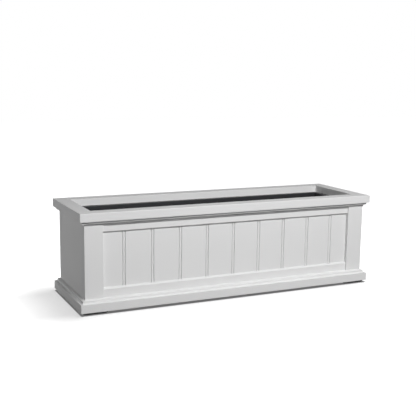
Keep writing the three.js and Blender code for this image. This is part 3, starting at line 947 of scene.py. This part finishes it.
class PLANTER_OT_drain_plugs(PlanterOperator, bpy.types.Operator):
    """Turn the two rubber drain plugs"""

    bl_idname = "planter.drain_plugs"
    bl_label = "Drain plugs"

    FLANGE = 2.5 * MM
    STEM_RADIUS = 9.7 * MM
    STEM_TAPER = 0.7 * MM
    STEM_REACH = 4.2 * MM
    GRIP_RADIUS = 6 * MM
    GRIP_TOP_ROUND = 2 * MM
    WAIST_RADIUS = 4 * MM
    WAIST_FILLET = 2 * MM
    # Under the grip: how far below its top edge it starts, and the two steps out from the waist.
    SHOULDER = 5 * MM
    SHOULDER_DROPS = (1.5 * MM, 0.4 * MM)
    SHOULDER_STEP = 0.6 * MM
    # The stem's edge under the flange, down and inwards.
    STEM_EDGE = (0.4 * MM, 0.3 * MM)
    EDGE = 0.6 * MM

    def execute(self, context):
        sides = context.scene.planter.plastic.turned_sides
        for side in ("left", "right"):
            self.plug(side, sides)
        return {"FINISHED"}

    def plug(self, side, sides):
        cad_name = f"drain_plug_{side}"
        low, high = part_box(cad_name)
        flange = (high.x - low.x) / 2
        seat = low.z + self.STEM_REACH
        flange_top = seat + self.FLANGE
        stem, edge, grip, waist = self.STEM_RADIUS, self.EDGE, self.GRIP_RADIUS, self.WAIST_RADIUS
        bottom = stem - self.STEM_TAPER
        profile = [(0, low.z)] + arc((bottom - edge, low.z + edge), edge, -90, 0, 3)
        profile += [(stem, seat - self.STEM_EDGE[0]), (stem - self.STEM_EDGE[1], seat)]
        profile += [(flange - edge, seat)]
        profile += arc((flange - edge, seat + edge), edge, -60, 0, 3)
        profile += arc((flange - edge, flange_top - edge), edge, 0, 80, 3)
        fillet = self.WAIST_FILLET
        profile += arc((waist + fillet, flange_top + fillet), fillet, 268, 180, 5)
        shoulder = high.z - self.SHOULDER
        lower, upper = self.SHOULDER_DROPS
        profile += [(waist, shoulder - lower), (waist + self.SHOULDER_STEP, shoulder - upper)]
        profile += arc((grip - edge, shoulder + edge), edge, -60, 0, 3)
        rounding = self.GRIP_TOP_ROUND
        profile += arc((grip - rounding, high.z - rounding), rounding, 0, 85, 6)
        profile += [(0, high.z)]
        shape = bmesh.new()
        lathe(shape, middle_of(low, high), profile, sides)
        plug = object_from_bmesh(f"plug_{side}", shape)
        smooth(plug)
        stand_in(plug, cad_name, finishes().rubber, cad_name, slot="plug_rubber")


# ---------------------------------------------------------------- operator: stage


def seen_directly(tree):
    """1 for rays from the camera, off gloss or through glass, 0 for the light on the object."""
    path = node(tree, "ShaderNodeLightPath").outputs
    most = path["Is Camera Ray"]
    for ray in ("Is Glossy Ray", "Is Transmission Ray"):
        most = maths(tree, "MAXIMUM", most, path[ray])
    return most


class PLANTER_OT_stage(PlanterOperator, bpy.types.Operator):
    """Lay the floor and set the lamps, the background and the camera"""

    bl_idname = "planter.stage"
    bl_label = "Stage"

    FLOOR_HALF = 8.0
    FLOOR_COLOUR = 0.8
    # The floor beside the box shows its shadow, and its glow is lower near the box, which paints part of
    # that shade. It is plain white from here outwards.
    SHADOW_REACH = 0.15
    # Nearer to the skirt's outline than this counts as under the box.
    SKIRT_EDGE = 0.1 * MM
    HORIZON_FALL = 5.0
    # Each softbox stands here, looks at a point on the box, and has this width and height.
    KEY_PLACE, KEY_AIM = Vector((0.2, -1.92, 1.58)), Vector((0.0, -0.14, 0.2))
    KEY_SIZE = (1.3, 0.4)
    LEFT_PLACE, LEFT_AIM = Vector((-2.0, 0.35, 0.28)), Vector((-0.45, 0.0, 0.14))
    LEFT_SIZE = (0.8, 0.44)
    # The softboxes at the right and behind stand lower than the cap, and so leave its top alone.
    RIGHT_PLACE, RIGHT_AIM = Vector((2.2, 0.45, 0.14)), Vector((0.45, 0.0, 0.14))
    RIGHT_SIZE = (0.8, 0.22)
    BACK_PLACE, BACK_AIM = Vector((0.3, 2.9, 0.14)), Vector((0.0, 0.14, 0.14))
    BACK_SIZE = (2.2, 0.22)
    FLOOR_LAMP_PLACE, FLOOR_LAMP_AIM = Vector((0.7, -0.02, 2.4)), Vector((-0.3, 0.0, 0.0))
    FLOOR_LAMP_SIZE = (0.8, 0.5)
    TARGET = Vector((-0.026547, 0.0, 0.241533))
    DISTANCE = 2.297
    AZIMUTH = math.radians(-25.49)
    ELEVATION = math.radians(9.756)
    ROLL = math.radians(0.796)
    LENS = 66.95
    SENSOR = 36.0

    def execute(self, context):
        studio = context.scene.planter.studio
        context.scene.view_settings.view_transform = "Standard"
        self.floor(studio)
        self.background(context, studio)
        self.lamps(studio)
        self.camera(context)
        return {"FINISHED"}

    def floor(self, studio):
        """Lays a pale floor, which adds its own light where the camera or gloss sees it."""
        shape = bmesh.new()
        bmesh.ops.create_grid(shape, x_segments=1, y_segments=1, size=self.FLOOR_HALF)
        data = bpy.data.meshes.new("floor")
        shape.to_mesh(data)
        shape.free()
        floor = object_from("floor", data)
        made = bpy.data.materials.new("Studio floor")
        made.use_nodes = True
        tree = made.node_tree
        tree.nodes.clear()
        seen = seen_directly(tree)
        pale = [(value, value, value, 1) for value in (studio.floor_bounce, self.FLOOR_COLOUR)]
        surface = node(tree, "ShaderNodeBsdfDiffuse", {"Color": mixed(tree, seen, *pale)})
        strength = maths(tree, "MULTIPLY", seen, self.glow(tree, studio))
        light = node(tree, "ShaderNodeEmission", {"Strength": strength})
        both = node(tree, "ShaderNodeAddShader", {0: surface.outputs[0], 1: light.outputs[0]})
        node(tree, "ShaderNodeOutputMaterial", {"Surface": both.outputs[0]})
        data.materials.append(made)

    def glow(self, tree, studio):
        """The floor's own light, cut down near and under the box as painted shade: little under the box,
        more beside it, full from the shadow's reach.
        """
        place = node(tree, "ShaderNodeTexCoord").outputs["Object"]
        low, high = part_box("skirt_front")
        folded = vector_maths(tree, "ABSOLUTE", place)[0]
        beyond = vector_maths(tree, "SUBTRACT", folded, (high.x, -low.y, 0))[0]
        outside = vector_maths(tree, "MAXIMUM", beyond)[0]
        away = vector_maths(tree, "LENGTH", outside)["Value"]
        # Painted shade: the glow rises with distance from the box, on top of the lamps' real shadow.
        beside = node(
            tree, "ShaderNodeMapRange",
            {
                "Value": away, "From Min": 0.0, "From Max": self.SHADOW_REACH,
                "To Min": studio.glow_beside_box_painted_shade, "To Max": 1.0,
            },
            interpolation_type="SMOOTHSTEP",
        ).outputs[0]
        clear = maths(tree, "GREATER_THAN", away, self.SKIRT_EDGE)
        open_floor = maths(tree, "MULTIPLY", beside, clear)
        under = maths(tree, "SUBTRACT", 1.0, clear)
        return maths(tree, "MULTIPLY_ADD", under, studio.glow_under_box_painted_shade, open_floor)

    def background(self, context, studio):
        """White where it is seen, and for the object a glow that fades upwards."""
        world = bpy.data.worlds.new("Studio")
        world.use_nodes = True
        context.scene.world = world
        tree = world.node_tree
        tree.nodes.clear()
        seen = seen_directly(tree)
        ray = node(tree, "ShaderNodeTexCoord").outputs["Generated"]
        height = node(tree, "ShaderNodeSeparateXYZ", {0: ray}).outputs["Z"]
        fall = maths(tree, "SUBTRACT", 1.0, height, use_clamp=True)
        fade = maths(tree, "POWER", fall, self.HORIZON_FALL)
        glow = maths(tree, "MULTIPLY", fade, studio.horizon_glow)
        rest = maths(tree, "SUBTRACT", 1.0, seen)
        strength = maths(tree, "MULTIPLY_ADD", rest, glow, seen)
        light = node(tree, "ShaderNodeBackground", {"Color": WHITE, "Strength": strength})
        node(tree, "ShaderNodeOutputWorld", {"Surface": light.outputs[0]})

    def lamps(self, studio):
        """Softboxes for the box, and a lamp for the floor alone, where the box casts its shadow."""
        floor = bpy.data.objects["floor"]
        on_box = (
            ("key", studio.key_power, self.KEY_PLACE, self.KEY_AIM, self.KEY_SIZE),
            ("left", studio.left_power, self.LEFT_PLACE, self.LEFT_AIM, self.LEFT_SIZE),
            ("right", studio.right_power, self.RIGHT_PLACE, self.RIGHT_AIM, self.RIGHT_SIZE),
            ("back", studio.back_power, self.BACK_PLACE, self.BACK_AIM, self.BACK_SIZE),
        )
        for lamp in on_box:
            self.light_floor(self.softbox(*lamp), floor, "EXCLUDE")
        overhead = self.softbox(
            "floor lamp", studio.floor_power, self.FLOOR_LAMP_PLACE, self.FLOOR_LAMP_AIM,
            self.FLOOR_LAMP_SIZE,
        )
        self.light_floor(overhead, floor, "INCLUDE")

    def light_floor(self, lamp, floor, state):
        """Lets a lamp light everything but the floor, or the floor alone."""
        lit = bpy.data.collections.new(f"{lamp.name} on the floor")
        lit.objects.link(floor)
        lit.collection_objects[0].light_linking.link_state = state
        lamp.light_linking.receiver_collection = lit

    def softbox(self, name, power, place, aim, size):
        """An area lamp that the camera doesn't see."""
        panel = bpy.data.lights.new(name, "AREA")
        panel.shape = "RECTANGLE"
        panel.size, panel.size_y = size
        panel.energy = power
        lamp = object_from(name, panel)
        lamp.location = place
        lamp.rotation_euler = (place - aim).to_track_quat("Z", "Y").to_euler()
        lamp.visible_camera = False
        return lamp

    def camera(self, context):
        """Sets the camera where the photograph was taken from."""
        data = bpy.data.cameras.new("camera")
        data.lens = self.LENS
        data.sensor_width = self.SENSOR
        data.clip_end = 100
        camera = object_from("camera", data)
        level = math.cos(self.ELEVATION)
        back = Vector((
            math.sin(self.AZIMUTH) * level,
            -math.cos(self.AZIMUTH) * level,
            math.sin(self.ELEVATION),
        ))
        right = (-back).cross(Vector((0, 0, 1))).normalized()
        up = right.cross(-back)
        rolled_right = math.cos(self.ROLL) * right + math.sin(self.ROLL) * up
        rolled_up = math.cos(self.ROLL) * up - math.sin(self.ROLL) * right
        turn = Matrix((rolled_right, rolled_up, back)).transposed().to_4x4()
        camera.matrix_world = Matrix.Translation(self.TARGET + self.DISTANCE * back) @ turn
        context.scene.camera = camera


# ---------------------------------------------------------------- panel and registration


PIECES = (
    PLANTER_OT_cap,
    PLANTER_OT_mouldings,
    PLANTER_OT_front_frame,
    PLANTER_OT_beaded_boards,
    PLANTER_OT_walls,
    PLANTER_OT_inner_boards,
    PLANTER_OT_feet,
    PLANTER_OT_foot_screws,
    PLANTER_OT_liner,
    PLANTER_OT_drainage_platform,
    PLANTER_OT_drain_plugs,
    PLANTER_OT_stage,
)


class PLANTER_PG_settings(bpy.types.PropertyGroup):
    """Everything that the panel shows"""

    paint: PointerProperty(type=PLANTER_PG_paint, name="Paint", description="Boards and their paint")
    plastic: PointerProperty(type=PLANTER_PG_plastic, name="Plastic", description="Moulded pieces")
    studio: PointerProperty(type=PLANTER_PG_studio, name="Studio", description="Lamps and floor")


class PLANTER_PT_sidebar(bpy.types.Panel):
    """Lists the planter's settings and pieces"""

    bl_idname = "PLANTER_PT_sidebar"
    bl_label = "Window Box Planter"
    bl_space_type = "VIEW_3D"
    bl_region_type = "UI"
    bl_category = "Planter"

    def draw(self, context):
        settings = context.scene.planter
        for part in (settings.paint, settings.plastic, settings.studio):
            box = self.layout.box()
            for name in part.__annotations__:
                box.prop(part, name)
        column = self.layout.column(align=True)
        for operator in PIECES:
            column.operator(operator.bl_idname)


CLASSES = (
    PLANTER_PG_paint, PLANTER_PG_plastic, PLANTER_PG_studio, PLANTER_PG_settings,
    *PIECES, PLANTER_PT_sidebar,
)


def register():
    for made in CLASSES:
        bpy.utils.register_class(made)
    bpy.types.Scene.planter = PointerProperty(type=PLANTER_PG_settings)


def unregister():
    del bpy.types.Scene.planter
    for made in reversed(CLASSES):
        bpy.utils.unregister_class(made)


def main():
    register()
    for operator in PIECES:
        prefix, name = operator.bl_idname.split(".")
        getattr(getattr(bpy.ops, prefix), name)()


if __name__ == "__main__":
    main()
